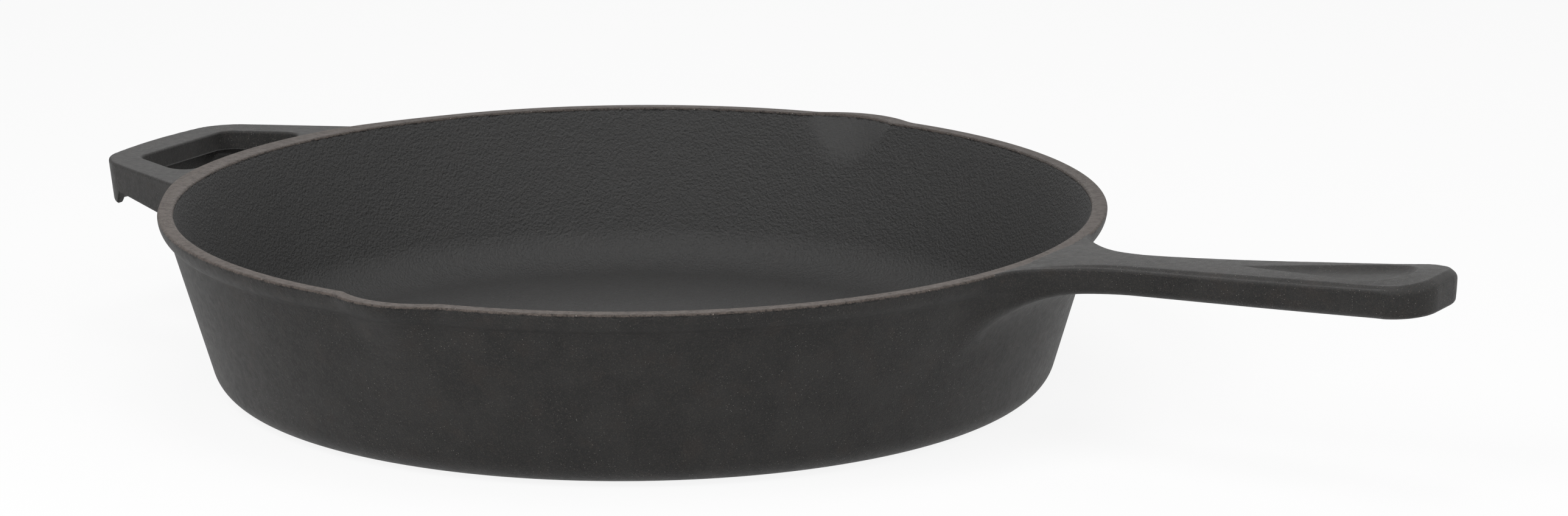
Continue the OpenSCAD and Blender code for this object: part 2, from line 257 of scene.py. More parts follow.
def inside_rows():
    """Stretches from the rim's ground face down the inside to the floor's centre."""
    arc_x = inner_r(PAN_H) + math.tan(math.radians(90 - DRAFT_DEG) / 2) * RIM_IN_R
    arc_end = PAN_H - RIM_IN_R * (1 - DRAFT_SIN)
    ground = np.linspace(RIM_R - RIM_OUT_R, arc_x, 6)[1:-1]
    return [
        (level(ground, PAN_H), "ground"),
        (arc_points(arc_x, PAN_H - RIM_IN_R, RIM_IN_R, 90, 180 - DRAFT_DEG, 6), "ground_end"),
        (upright(arc_end - RIM_LEAD, BAND_Z, 6, inner_r), None),
        (upright(BAND_Z, SPOUT_Z, 20, inner_r), "band_in"),
        (upright(SPOUT_Z, HEEL_Z, 12, inner_r), "spout_in"),
        (arc_points(FLOOR_R, COVE_Z, COVE_R, -DRAFT_DEG, -90, 24)[:-1], "heel_in"),
        (level([FLOOR_R], FLOOR_T), "floor_in"),
        (level(FLOOR_RINGS, FLOOR_T), None),
    ]


def section():
    """Points (radius, height) of the section all round, and the row at which each named
    stretch begins, where the pieces meet."""
    points, cuts = [], {}
    for stretch, name in outside_rows() + inside_rows():
        if name:
            cuts[name] = len(points)
        points.extend(stretch)
    # the ground face begins at the last point of the arc before it
    cuts["ground"] -= 1
    return np.array(points, float), cuts


# ---- pour spouts and the widened rim, as an outward push of the section ----
# blend, in mm of push, where a spout runs out into the rim, and the share of its half width
# over which the crisp blend goes over into the soft one
CRISP = 0.25
SOFT = 2.6
CRISP_FADE = 0.3
# the rear scoop was cut a little off the middle of its spout, in degrees
SCOOP_OFF = 1.5
SPOUTS = ((FRONT_SPOUT, FRONT_SPOUT), (REAR_SPOUT, REAR_SPOUT + SCOOP_OFF))


def spout_push(deg, z, drop, centre, crisp):
    """Push of a spout, cut by a leaning cylinder: an arch in plan that narrows downwards.
    With crisp it ends in a crease on its lower-angle side."""
    v = ((deg - centre + 180) % 360 - 180) / SPOUT_HALF
    lift = SPOUT_OUT * (1 - (PAN_H - z) / drop - v * v)
    blend = CRISP + (SOFT - CRISP) * ease(-CRISP_FADE, CRISP_FADE, v) if crisp else SOFT
    return smooth_max(np.maximum(lift, -SOFT), 0.0, blend)


# the pad runs out along the rim from a little inside the arms' outer sides
PAD_LEAD = 12.0
PAD_RUN = 32.0
PAD_SOFT = 0.7


def pad_push(deg, z):
    """Extra width of the rim beside the helper handle."""
    y = np.abs(RIM_R * np.sin(np.radians(deg)))
    helper_side = np.cos(np.radians(deg)) < 0
    beside = (1 - ease(HELPER_HALF_W - PAD_LEAD, HELPER_HALF_W + PAD_RUN, y)) * helper_side
    return HELPER_PAD * beside * ease(PLATE_Z - PAD_LAP - PAD_SOFT, PLATE_Z + PAD_SOFT, z)


def push(deg, z, outside):
    """Push of the outside or of the inside, where c is a spout's middle."""
    if outside:
        return sum(spout_push(deg, z, BULGE_DROP, c, False) for c, _ in SPOUTS) + pad_push(deg, z)
    return sum(spout_push(deg, z, SCOOP_DROP, c, True) for _, c in SPOUTS)


# ---- meshes ----
def add_object(name, data):
    made = bpy.data.objects.new(name, data)
    bpy.context.scene.collection.objects.link(made)
    return made


def make_piece(name, points, faces, normals, flat=(), masks=None):
    """An object from points in mm. Faces whose numbers are in flat keep their own normals, the
    others take the points' normals, so that surfaces run on from piece to piece. masks are
    numbers at the points, which the materials read."""
    used = sorted({v for f in faces for v in f})
    number = {v: i for i, v in enumerate(used)}
    mesh = bpy.data.meshes.new(name)
    mesh.from_pydata((points[used] * MM).tolist(), [], [[number[v] for v in f] for f in faces])
    mesh.shade_smooth()
    own = normals[used]
    loop_vert = np.zeros(len(mesh.loops), np.int32)
    mesh.loops.foreach_get("vertex_index", loop_vert)
    loop_normal = own[loop_vert]
    for f in flat:
        poly = mesh.polygons[f]
        loop_normal[poly.loop_start : poly.loop_start + poly.loop_total] = poly.normal
    mesh.normals_split_custom_set(loop_normal.tolist())
    for mask, values in (masks or {}).items():
        layer = mesh.attributes.new(mask, "FLOAT", "POINT")
        layer.data.foreach_set("value", np.ascontiguousarray(values[used], np.float32))
    return add_object(name, mesh)


# degrees between columns, all round and within SPOUT_FINE of a spout's middle
COLUMN_STEP = 0.5
FINE_STEP = 0.125
SPOUT_FINE = 14.0


def columns():
    """Directions of the section's columns in degrees, closer together across the spouts."""
    degs = set(np.round(np.arange(0, 360, COLUMN_STEP), 4))
    for centre in (FRONT_SPOUT, REAR_SPOUT):
        fine = np.arange(-SPOUT_FINE, SPOUT_FINE + FINE_STEP / 2, FINE_STEP) + centre
        degs |= set(np.round(fine % 360, 4))
        degs |= {round((centre + s) % 360, 4) for s in (-SPOUT_SECTOR, SPOUT_SECTOR)}
    return np.array(sorted(degs))


# push of the inside, in mm, over which the scoop's mask rises from 0 to 1
SCOOP_EDGE = (0.3, 1.6)


class Pan:
    """The pan's whole surface as one grid of columns by section rows."""

    def __init__(self):
        profile, self.cut = section()
        self.deg = columns()
        self.rows = len(profile)
        deg = self.deg[:, None]
        r, z = profile[None, :, 0], profile[None, :, 1]
        move_out = push(deg, z, True)
        move_in = push(deg, z, False)
        # across the ground face the push goes over from the outside's to the inside's
        row = np.arange(self.rows)
        ground, ground_end = self.cut["ground"], self.cut["ground_end"]
        mix = ease(ground, ground_end + 3, row)[None, :]
        r = r + (move_out * (1 - mix) + move_in * mix)
        a = np.radians(deg)
        self.grid = np.stack([r * np.cos(a), r * np.sin(a), z + 0 * a], 2)
        self.points = self.grid.reshape(-1, 3)
        inner = ease(ground + 2, ground_end + 2, row)
        scoop = ease(*SCOOP_EDGE, move_in)
        self.masks = {
            "inside": (inner[None, :] + 0 * deg).ravel(),
            "scoop": (inner[None, :] * scoop).ravel(),
        }
        self.normals = self._normals().reshape(-1, 3)

    def _normals(self):
        around = np.roll(self.grid, -1, 0) - np.roll(self.grid, 1, 0)
        along = np.gradient(self.grid, axis=1)
        n = np.cross(around, along)
        n[:, 0] = (0, 0, -1)
        n[:, -1] = (0, 0, 1)
        return n / np.linalg.norm(n, axis=2, keepdims=True)

    def column(self, deg):
        return int(np.argmin(np.abs(self.deg - deg % 360)))

    def at(self, i, j):
        return (i % len(self.deg)) * self.rows + j

    def between(self, deg0, deg1):
        """Numbers of the columns from one direction round to another."""
        i0, i1 = self.column(deg0), self.column(deg1)
        if i1 <= i0:
            i1 += len(self.deg)
        return list(range(i0, i1))

    def quad(self, i, a, b):
        """The face from column i to the next one, and from row a to row b."""
        return self.at(i, a), self.at(i + 1, a), self.at(i + 1, b), self.at(i, b)

    def levels(self, cut):
        """The rows outside and inside at a cut. The rim and the base are closed there."""
        if cut == "rim":
            return self.cut["ground"], self.cut["ground"]
        if cut == "base":
            return 0, self.rows - 1
        return self.cut[f"{cut}_out"], self.cut[f"{cut}_in"]

    def span(self, cols, low, high):
        """Faces of the pan's surface in a span, and the caps that close it."""
        (lo_out, lo_in), (hi_out, hi_in) = self.levels(low), self.levels(high)
        # down the inside again, from the row after the shared one where the section is closed
        shared = hi_in == hi_out
        chain = list(range(lo_out, hi_out + 1)) + list(range(hi_in + shared, lo_in + 1))
        faces, caps = [], []
        for i in cols:
            for a, b in zip(chain, chain[1:]):
                (faces if b == a + 1 else caps).append(self.quad(i, a, b))
            if low != "base":
                caps.append(self.quad(i, lo_in, lo_out))
        if low == "base":
            caps.append([self.at(i, 0) for i in reversed(cols)])
            caps.append([self.at(i, self.rows - 1) for i in cols])
        if len(cols) < len(self.deg):
            caps.append([self.at(cols[0], j) for j in chain])
            caps.append([self.at(cols[-1] + 1, j) for j in reversed(chain)])
        return faces, caps

    def piece(self, name, spans):
        """A closed piece. Each span is (columns, low cut, high cut)."""
        faces, caps = [], {}
        for cols, low, high in spans:
            span_faces, span_caps = self.span(cols, low, high)
            faces += span_faces
            for cap in span_caps:
                caps.setdefault(frozenset(cap), []).append(cap)
        # a cap that two spans share lies inside the piece, so both copies go
        outer_caps = [same[0] for same in caps.values() if len(same) == 1]
        flat = range(len(faces), len(faces) + len(outer_caps))
        return make_piece(name, self.points, faces + outer_caps, self.normals, flat, self.masks)


# ---- closed pieces from a field ----
def crossing_means(f):
    """For each cell of a grid of field values, the mean place of the surface's crossings of its
    edges, in cells from its low corner, and whether it has any."""
    shape = np.array(f.shape) - 1
    total = np.zeros((*shape, 3))
    count = np.zeros(shape)

    def at_corner(c):
        return f[tuple(slice(o, o + n) for o, n in zip(c, shape))]

    for c in itertools.product((0, 1), repeat=3):
        for axis in range(3):
            if c[axis]:
                continue
            here = at_corner(c)
            there = at_corner(tuple(1 if k == axis else c[k] for k in range(3)))
            cross = (here < 0) != (there < 0)
            t = np.where(cross, here / np.where(cross, here - there, 1), 0)
            for k in range(3):
                total[..., k] += cross * (c[k] + (t if k == axis else 0))
            count += cross
    used = count > 0
    return total[used] / count[used][:, None], used


def surface_quads(inside, number):
    """Quads around each grid edge that the surface crosses, from the numbers of the cells."""
    quads = []
    for axis in range(3):
        change = inside != np.roll(inside, -1, axis)
        keep = [slice(1, -1)] * 3
        keep[axis] = slice(0, -1)
        crossed = np.zeros_like(change)
        crossed[tuple(keep)] = change[tuple(keep)]
        at = np.argwhere(crossed)
        u, v = np.eye(3, dtype=int)[[(axis + 1) % 3, (axis + 2) % 3]]
        ring = [at - u - v, at - v, at, at - u]
        ids = np.stack([number[tuple(r.T)] for r in ring], 1)
        leaving = inside[tuple(at.T)]
        quads.append(np.where(leaving[:, None], ids, ids[:, ::-1]))
    return np.concatenate(quads)


def surface_net(field, low, high, step):
    """Vertices and quads of a field's zero surface inside a box, on a cubic grid."""
    axes = [np.arange(a, b + step, step) for a, b in zip(low, high)]
    grid = np.stack(np.meshgrid(*axes, indexing="ij"), -1)
    f = field(grid.reshape(-1, 3)).reshape(grid.shape[:3])
    means, used = crossing_means(f)
    number = -np.ones(used.shape, np.int64)
    number[used] = np.arange(used.sum())
    points = np.array(low) + step * (np.argwhere(used) + means)
    return points, surface_quads(f < 0, number)


# points come onto a surface in a few rounds, with a longest move in cells. A slope's square
# counts as no less than FLATTEST, so that no move explodes
SLOPE_STEP = 0.02
SETTLE_ROUNDS = 6
SETTLE_MOVE = 0.4
FLATTEST = 0.05


def slope(field, p):
    """Gradient of a field at points."""
    h = SLOPE_STEP
    return np.stack([(field(p + h * e) - field(p - h * e)) / (2 * h) for e in np.eye(3)], 1)


def settle(field, p, step):
    """Moves points onto the field's zero surface."""
    for _ in range(SETTLE_ROUNDS):
        g = slope(field, p)
        move = -(field(p) / np.maximum((g * g).sum(1), FLATTEST))[:, None] * g
        size = np.linalg.norm(move, axis=1, keepdims=True)
        p = p + move * np.minimum(1, SETTLE_MOVE * step / np.maximum(size, 1e-9))
    return p


def cut_off(bm, cuts):
    """Cuts a mesh off at planes (point, direction to cut away), and closes it with caps that
    have material number 1."""
    for at, away in cuts:
        everything = bm.verts[:] + bm.edges[:] + bm.faces[:]
        bmesh.ops.bisect_plane(
            bm, geom=everything, dist=1e-4, plane_co=at, plane_no=away, clear_outer=True
        )
        rim = [e for e in bm.edges if e.is_boundary]
        bmesh.ops.edgeloop_fill(bm, edges=rim, mat_nr=1)


# least cosine between the field's slope and the mesh's own normal; less means a cusp
CUSP_COS = 0.2


def field_piece(name, field, low, high, step, cuts=()):
    """A closed piece from a field, made inside a box and cut off at planes."""
    points, quads = surface_net(field, low, high, step)
    points = settle(field, points, step)
    bm = bmesh.new()
    verts = [bm.verts.new(p) for p in points.tolist()]
    for q in quads.tolist():
        if len(set(q)) == 4 and min(q) >= 0:
            bm.faces.new([verts[v] for v in q])
    cut_off(bm, cuts)
    bm.normal_update()
    bm.verts.index_update()
    points = np.array([v.co for v in bm.verts])
    facets = np.array([v.normal for v in bm.verts])
    smooth = [[v.index for v in f.verts] for f in bm.faces if f.material_index == 0]
    flat = [[v.index for v in f.verts] for f in bm.faces if f.material_index == 1]
    bm.free()
    normals = slope(field, points)
    # where the field has a cusp, the mesh's own normal stands in
    agree = (normals * facets).sum(1, keepdims=True) > CUSP_COS
    normals = np.where(agree, normals, facets)
    normals /= np.linalg.norm(normals, axis=1, keepdims=True)
    caps = range(len(smooth), len(smooth) + len(flat))
    return make_piece(name, points, smooth + flat, normals, caps)


# ---- long handle ----
# the crown's slope ends at this distance from the middle line
CROWN_HALF_W = SHANK_HALF_W + 4.0
# the top and the edges change over a run that ends near the tip
TIP_RUN = (TIP_C_X - 4.0, TIP_X - 2.0)
TIP_CROWN = 0.5
TIP_DRAFT = 0.4
TIP_EDGE_R = 2.7
TIP_BELLY_R = 1.4
TIP_SHY = 0.3


def edge_z(x):
    """Height of the handle's upper edges."""
    t = (x - RIM_R) / HANDLE_REACH
    return PAN_H + HANDLE_LIFT + HANDLE_RISE * (STRAIGHT_SHARE * t + (1 - STRAIGHT_SHARE) * t * t)


def grip_share(x):
    """0 at the waist and 1 where the round tip begins."""
    return np.clip((x - WAIST_X) / (TIP_C_X - WAIST_X), 0, 1)


def quarter(r, run):
    """Fall of a quarter circle of radius r at a distance run from its crest."""
    return r - np.sqrt(np.maximum(0, r * r - np.clip(run, 0, r) ** 2))


def half_w(x):
    """Half the handle's width, with the flare into the pan."""
    body = SHANK_HALF_W + (GRIP_HALF_W - SHANK_HALF_W) * grip_share(x) ** GRIP_SWELL
    run = smooth_min(WAIST_X - x, WAIST_REACH + FLARE_BURY, FLARE_SOFT)
    return body + quarter(FLARE_R, run)


def handle_bottom(x):
    """Height of the handle's underside, with the gusset under its root."""
    run = np.minimum(RIM_R + GUSSET_REACH - x, GUSSET_REACH + GUSSET_BURY)
    return edge_z(x) - (SHANK_T + (GRIP_T - SHANK_T) * grip_share(x)) - quarter(GUSSET_R, run)


# the recess is shallow at its point, and gets to its depth over a run
RECESS_EDGE = 2.0
RECESS_ROUND = 1.5
RECESS_START_SHARE = 0.45
RECESS_FADE_END = TIP_X - RECESS_TO_TIP - 20.0


def recess_field(x, y):
    """Distance outside the teardrop outline of the grip's recess, in plan."""
    end_x = TIP_X - RECESS_TO_TIP - RECESS_HALF_W
    # straight sides touch the round end and meet in a point
    sine = RECESS_HALF_W / (end_x - RECESS_START_X)
    cosine = math.sqrt(1 - sine * sine)
    side = np.abs(y) * cosine - (x - RECESS_START_X) * sine
    end = np.hypot(x - end_x, y) - RECESS_HALF_W
    past = (x - end_x) * cosine + np.abs(y) * sine > 0
    return np.where(past, end, side)


def recess_depth(x, y):
    """The recess: a dished floor inside a rounded edge, which fades in from its point."""
    inside = np.maximum(0, -recess_field(x, y))
    fade_in = ease(RECESS_START_X, RECESS_FADE_END, x)
    dish = 1 - np.exp(-((inside / RECESS_EDGE) ** RECESS_ROUND))
    return RECESS_DEPTH * (RECESS_START_SHARE + (1 - RECESS_START_SHARE) * fade_in) * dish


# a low bead runs along the top's edges, below a short slope
BEAD_DROP = 0.95
BEAD_IN = 0.9
BEAD_SLOPE = 1.8
BEAD_FADE = 20.0


def handle_side(x, y):
    """Distance out from the handle's side face, in plan, with the round tip."""
    h = SLOPE_STEP / 2
    steep = (half_w(x + h) - half_w(x - h)) / (2 * h)
    side = (np.abs(y) - half_w(x)) / np.sqrt(1 + steep * steep)
    return round_max(side, x - (TIP_X - TIP_SHY), TIP_R)


def handle_faces(p):
    """Fields of the handle's side, top and bottom, and the radii of its upper and lower edges."""
    x, y, z = p.T
    plan = handle_side(x, y)
    crown = CROWN * (half_w(np.maximum(x, WAIST_X)) / GRIP_HALF_W) ** 2
    across = np.clip(y / np.minimum(half_w(x), CROWN_HALF_W), -1, 1)
    near_tip = ease(*TIP_RUN, x)
    flatter = 1 - (1 - TIP_CROWN) * near_tip
    drop = BEAD_DROP * (1 - np.exp(-np.maximum(0, x - RIM_R) / BEAD_FADE)) * flatter
    top = z - edge_z(x) - crown * (1 - across**2) * flatter
    top = top + drop * ease(-BEAD_IN - BEAD_SLOPE, -BEAD_IN, plan) + recess_depth(x, y)
    bottom = handle_bottom(x) - z
    low = np.clip((edge_z(x) - z) / (edge_z(x) - handle_bottom(x)), 0, 1)
    side = plan + SIDE_DRAFT * (1 - (1 - TIP_DRAFT) * near_tip) * low * low
    shoulder = EDGE_R + (TIP_EDGE_R - EDGE_R) * near_tip
    belly = BELLY_R + (TIP_BELLY_R - BELLY_R) * near_tip
    return side, top, bottom, shoulder, belly


def handle(p):
    side, top, bottom, shoulder, belly = handle_faces(p)
    return round_max(round_max(side, top, shoulder), bottom, belly)


# how deep the handles reach into the wall, and their fillets there, which get tighter upwards
BURY = 1.1
ROOT_FILLET = 12.0
ROOT_TOP_FILLET = 5.0
HELPER_FILLET = 4.0
HELPER_TOP_FILLET = 0.8
# along the root's fillet the top's edge comes down over the rim's rounded edge
ROOT_TOP_DROP = 1.4
ROOT_TOP_RUN = (1.0, 6.0)
# the tops stop at these radii, short of the ground rim, and reach in again below these heights
ROOT_SHY_R = RIM_R - RIM_OUT_R + 0.05
HELPER_SHY_R = PAD_R - 0.4
ROOT_SHY_Z = PAN_H - 2.5
HELPER_SHY_Z = PLATE_Z + 1.0
SHY_SLOPE = 2.0
ROOT_SHY_SOFT = 0.1
HELPER_SHY_SOFT = 0.3
# past a fillet a surface dips into the wall at this slope
SINK = 0.02
SINK_SLOPE = 0.5


def run_into(pan, part, fillet):
    """part run into the pan with a fillet. Past the fillet its surface dips into the wall."""
    sunk = pan + SINK + SINK_SLOPE * np.maximum(0, part - fillet)
    return smooth_min(part, sunk, fillet)


def root(p):
    """The handle's root: its sides and underside run into the wall with one wide fillet, and
    its top stops at the ground rim."""
    x, y, z = p.T
    r = np.hypot(x, y)
    side, top, bottom, shoulder, belly = handle_faces(p)
    under = round_max(side, bottom, belly)
    fillet = ROOT_FILLET + (ROOT_TOP_FILLET - ROOT_FILLET) * ease(BAND_Z, PAN_H - 1, z)
    joined = run_into(pan_side(r, z), under, fillet)
    top = top + ROOT_TOP_DROP * ease(*ROOT_TOP_RUN, under)
    shy = (ROOT_SHY_R - r) - np.maximum(0, ROOT_SHY_Z - z) * SHY_SLOPE
    body = smooth_max(round_max(joined, top, shoulder), shy, ROOT_SHY_SOFT)
    return np.maximum(body, -(pan_outside(r, z) + BURY))


# ---- helper handle ----
def helper_y(d):
    """Distance of the helper's side from the middle plane, at a distance d along -X."""
    return HELPER_HALF_W - HELPER_TAPER * (d - RIM_R)


TAPER_COS = math.cos(math.atan(HELPER_TAPER))
HELPER_EDGE_R = 0.9
HELPER_LOW_R = 0.7
WINDOW_EDGE_R = 0.8
POCKET_R = 1.0
POCKET_EDGE_R = 0.5
# the lip ends a little way along the arms, and is shallower round the corners
LIP_TURN = 11.0
LIP_FADE = 3.0
LIP_SHALLOW = 0.16
LIP_SHALLOW_RUN = (20.0, 31.0)
# distances out from the outline between which the lower edge goes from skirt to lip
LIP_RUN = (-LIP_DRAFT - 1.5 * LIP_T, -LIP_DRAFT - LIP_T + 0.8)
# the lower edge's field is flattened, because that edge slopes
UNDER_SHARE = 0.8


def corner(r, between):
    """Radius for round_max that cuts a corner as deep as a true fillet of radius r does, where
    the two faces' directions are some degrees apart."""
    return r * (1 - math.cos(math.radians(between / 2))) / (1 - math.sqrt(0.5))


# degrees between the directions of a side and the bar, and of a window's side and the rim
BAR_ANGLE = 90 - math.degrees(math.atan(HELPER_TAPER))
RIM_ANGLE = 126.0
# the outer corners of the casting are a little sharper than in the CAD model
CORNER_SHARE = 0.8
OUT_CORNER = CORNER_SHARE * corner(HELPER_CORNER_R, BAR_ANGLE)
BAR_CORNER = corner(WINDOW_BAR_R, BAR_ANGLE)
RIM_CORNER = corner(WINDOW_RIM_R, RIM_ANGLE)


def helper_outline(d, y, inset):
    """Distance out from the helper's outline in plan, drawn in by an inset."""
    side = (np.abs(y) - helper_y(d)) * TAPER_COS + inset
    corner_y = helper_y(HELPER_X - BAR_BOW)
    bow = BAR_BOW * np.clip(y / corner_y, -1.3, 1.3) ** 2
    end = d - HELPER_X + bow + inset
    return round_max(side, end, OUT_CORNER)


def helper_window(d, y):
    """Distance out from the window between the arms, in plan."""
    side = (np.abs(y) - (helper_y(d) - ARM_W)) * TAPER_COS
    bar = round_max(side, d - BAR_IN_X, BAR_CORNER)
    return round_max(bar, PAD_R - np.hypot(d, y), RIM_CORNER)


def helper_underside(d, y):
    """Height of the helper's lower edge: skirts under the arms, the lip under the crossbar."""
    out = np.clip((d - RIM_R) / (LIP_X - LIP_T - RIM_R), 0, 1)
    skirt = PLATE_Z - SKIRT_H + SKIRT_CLIMB * out
    lip = ease(*LIP_RUN, helper_outline(d, y, 0))
    lip = lip * ease(HELPER_X - LIP_TURN - LIP_FADE, HELPER_X - LIP_TURN, d)
    lip = lip * (1 - LIP_SHALLOW * ease(*LIP_SHALLOW_RUN, np.abs(y)))
    return skirt + (LIP_Z - skirt) * lip


def helper_part(p):
    """The whole helper handle, as if the pan weren't there."""
    d, y, z = -p[:, 0], p[:, 1], p[:, 2]
    low = np.clip((HELPER_TOP - z) / (PLATE_T + LIP_H), 0, 1)
    body = round_max(helper_outline(d, y, LIP_DRAFT * low), z - HELPER_TOP, HELPER_EDGE_R)
    body = round_max(body, (helper_underside(d, y) - z) * UNDER_SHARE, HELPER_LOW_R)
    pocket = round_max(helper_outline(d, y, LIP_DRAFT + LIP_T), z - PLATE_Z, POCKET_R)
    body = round_max(body, -pocket, POCKET_EDGE_R)
    return round_max(body, -helper_window(d, y), WINDOW_EDGE_R)


def pan_with_pad(p):
    """The pan's outside with the rim widened beside the helper handle."""
    x, y, z = p.T
    deg = np.degrees(np.arctan2(y, x))
    return pan_outside(np.hypot(x, y) - pad_push(deg, z), z)


def helper(p):
    """The helper handle's arms, run into the pan."""
    x, y, z = p.T
    pan = pan_with_pad(p)
    shy = (HELPER_SHY_R - np.hypot(x, y)) - np.maximum(0, HELPER_SHY_Z - z) * SHY_SLOPE
    part = smooth_max(helper_part(p), shy, HELPER_SHY_SOFT)
    tighter = ease(PLATE_Z - 1, HELPER_TOP - 1, z)
    fillet = HELPER_FILLET + (HELPER_TOP_FILLET - HELPER_FILLET) * tighter
    return np.maximum(run_into(pan, part, fillet), -(pan + BURY))


# ---- build the pieces ----
def build_pan():
    """The pan's pieces. Between the spouts the wall goes up to the band."""
    pan = Pan()
    all_round = list(range(len(pan.deg)))
    front = pan.between(FRONT_SPOUT - SPOUT_SECTOR, FRONT_SPOUT + SPOUT_SECTOR)
    rear = pan.between(REAR_SPOUT - SPOUT_SECTOR, REAR_SPOUT + SPOUT_SECTOR)
    to_handle = pan.between(FRONT_SPOUT + SPOUT_SECTOR, REAR_SPOUT - SPOUT_SECTOR)
    to_helper = pan.between(REAR_SPOUT + SPOUT_SECTOR, FRONT_SPOUT - SPOUT_SECTOR)
    wall = [
        (all_round, "heel", "spout"),
        (to_handle, "spout", "band"),
        (to_helper, "spout", "band"),
    ]
    return {
        "pan_floor": pan.piece("floor", [(all_round, "base", "floor")]),
        "heel_ring": pan.piece("heel", [(all_round, "floor", "heel")]),
        "side_wall": pan.piece("wall", wall),
        "handle_side_rim": pan.piece("rim_handle_side", [(to_handle, "band", "rim")]),
        "helper_side_rim": pan.piece("rim_helper_side", [(to_helper, "band", "rim")]),
        "front_pour_spout": pan.piece("spout_front", [(front, "spout", "rim")]),
        "rear_pour_spout": pan.piece("spout_rear", [(rear, "spout", "rim")]),
    }


# steps of the grids, and the distance of the arms' inner cuts from the middle plane
NET = 0.5
FINE_NET = 0.42
ARM_INNER_Y = 5.0
# boxes (low corner, high corner) that hold the pieces, and reach past the cuts
GRIP_BOX_Y = GRIP_HALF_W + 2
GRIP_TOP = edge_z(TIP_X) + CROWN + 2
ROOT_BOX = (130, -56, 18), (ROOT_CUT_X + 2, 56, 62)
SHANK_BOX = (ROOT_CUT_X - 2, -17, 44), (GRIP_CUT_X + 2, 17, 64)
GRIP_BOX = (GRIP_CUT_X - 2, -GRIP_BOX_Y, 46), (TIP_X + 2, GRIP_BOX_Y, GRIP_TOP)
BAR_BOX = (-HELPER_X - 1.5, -42, LIP_Z - 1.5), (-ARM_CUT_X + 1.5, 42, HELPER_TOP + 1.5)
ARM_BOX_X = -ARM_CUT_X - 1.5, -120
ARM_BOX_Y = ARM_INNER_Y - 1, HELPER_HALF_W + 16
ARM_BOX_Z = PLATE_Z - SKIRT_H - 8, PAN_H + 1.5


def cut_past(x, side):
    """A cut at x that takes away what lies on its +X or -X side."""
    return (x, 0, 0), (side, 0, 0)


def build_long_handle():
    root_end, past_root = cut_past(ROOT_CUT_X, 1), cut_past(ROOT_CUT_X, -1)
    shank_end, past_shank = cut_past(GRIP_CUT_X, 1), cut_past(GRIP_CUT_X, -1)
    shank_cuts = [past_root, shank_end]
    return {
        "handle_root": field_piece("root", root, *ROOT_BOX, NET, [root_end]),
        "handle_shank": field_piece("shank", handle, *SHANK_BOX, FINE_NET, shank_cuts),
        "handle_grip": field_piece("grip", handle, *GRIP_BOX, FINE_NET, [past_shank]),
    }


def build_arm(name, side):
    """An arm of the helper handle, with side -1 for the front one and 1 for the rear one."""
    low_y, high_y = sorted(side * y for y in ARM_BOX_Y)
    low = ARM_BOX_X[0], low_y, ARM_BOX_Z[0]
    high = ARM_BOX_X[1], high_y, ARM_BOX_Z[1]
    inner_cut = (0, side * ARM_INNER_Y, 0), (0, -side, 0)
    return field_piece(name, helper, low, high, NET, [inner_cut, cut_past(-ARM_CUT_X, -1)])


def build_helper():
    bar_end = cut_past(-ARM_CUT_X, 1)
    return {
        "helper_crossbar": field_piece("crossbar", helper_part, *BAR_BOX, NET, [bar_end]),
        "helper_front_arm": build_arm("arm_front", -1),
        "helper_rear_arm": build_arm("arm_rear", 1),
    }


pieces = {**build_pan(), **build_long_handle(), **build_helper()}
for node, piece in pieces.items():
    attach(piece, "root")
    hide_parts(node)


# ---- materials ----
class Nodes:
    """A node tree whose nodes are made and joined by calls."""

    def __init__(self, owner):
        owner.use_nodes = True
        self.tree = owner.node_tree

    def add(self, kind, inputs=None, **settings):
        node = self.tree.nodes.new(kind)
        for name, value in settings.items():
            setattr(node, name, value)
        for name, value in (inputs or {}).items():
            self.feed(node.inputs[name], value)
        return node

    def feed(self, socket, value):
        if isinstance(value, bpy.types.NodeSocket):
            self.tree.links.new(value, socket)
        else:
            socket.default_value = value

    def math(self, operation, a, b=0.0):
        return self.add("ShaderNodeMath", {0: a, 1: b}, operation=operation).outputs[0]

    def plus(self, a, b):
        return self.math("ADD", a, b)

    def minus(self, a, b):
        return self.math("SUBTRACT", a, b)

    def times(self, a, b):
        return self.math("MULTIPLY", a, b)

    def seen(self, share):
        """share where a camera or a mirror ray looks, and 0 for light that reaches the pan."""
        path = self.add("ShaderNodeLightPath").outputs
        seen = self.math("MAXIMUM", path["Is Camera Ray"], path["Is Glossy Ray"])
        seen = self.math("MAXIMUM", seen, path["Is Transmission Ray"])
        return self.times(seen, share)

    def show(self, output, seen, plain, other):
        """Sends a blend to an output node: plain, and other to the share seen."""
        blend = self.add("ShaderNodeMixShader", {0: seen, 1: plain, 2: other})
        self.feed(self.tree.nodes[output].inputs["Surface"], blend.outputs[0])


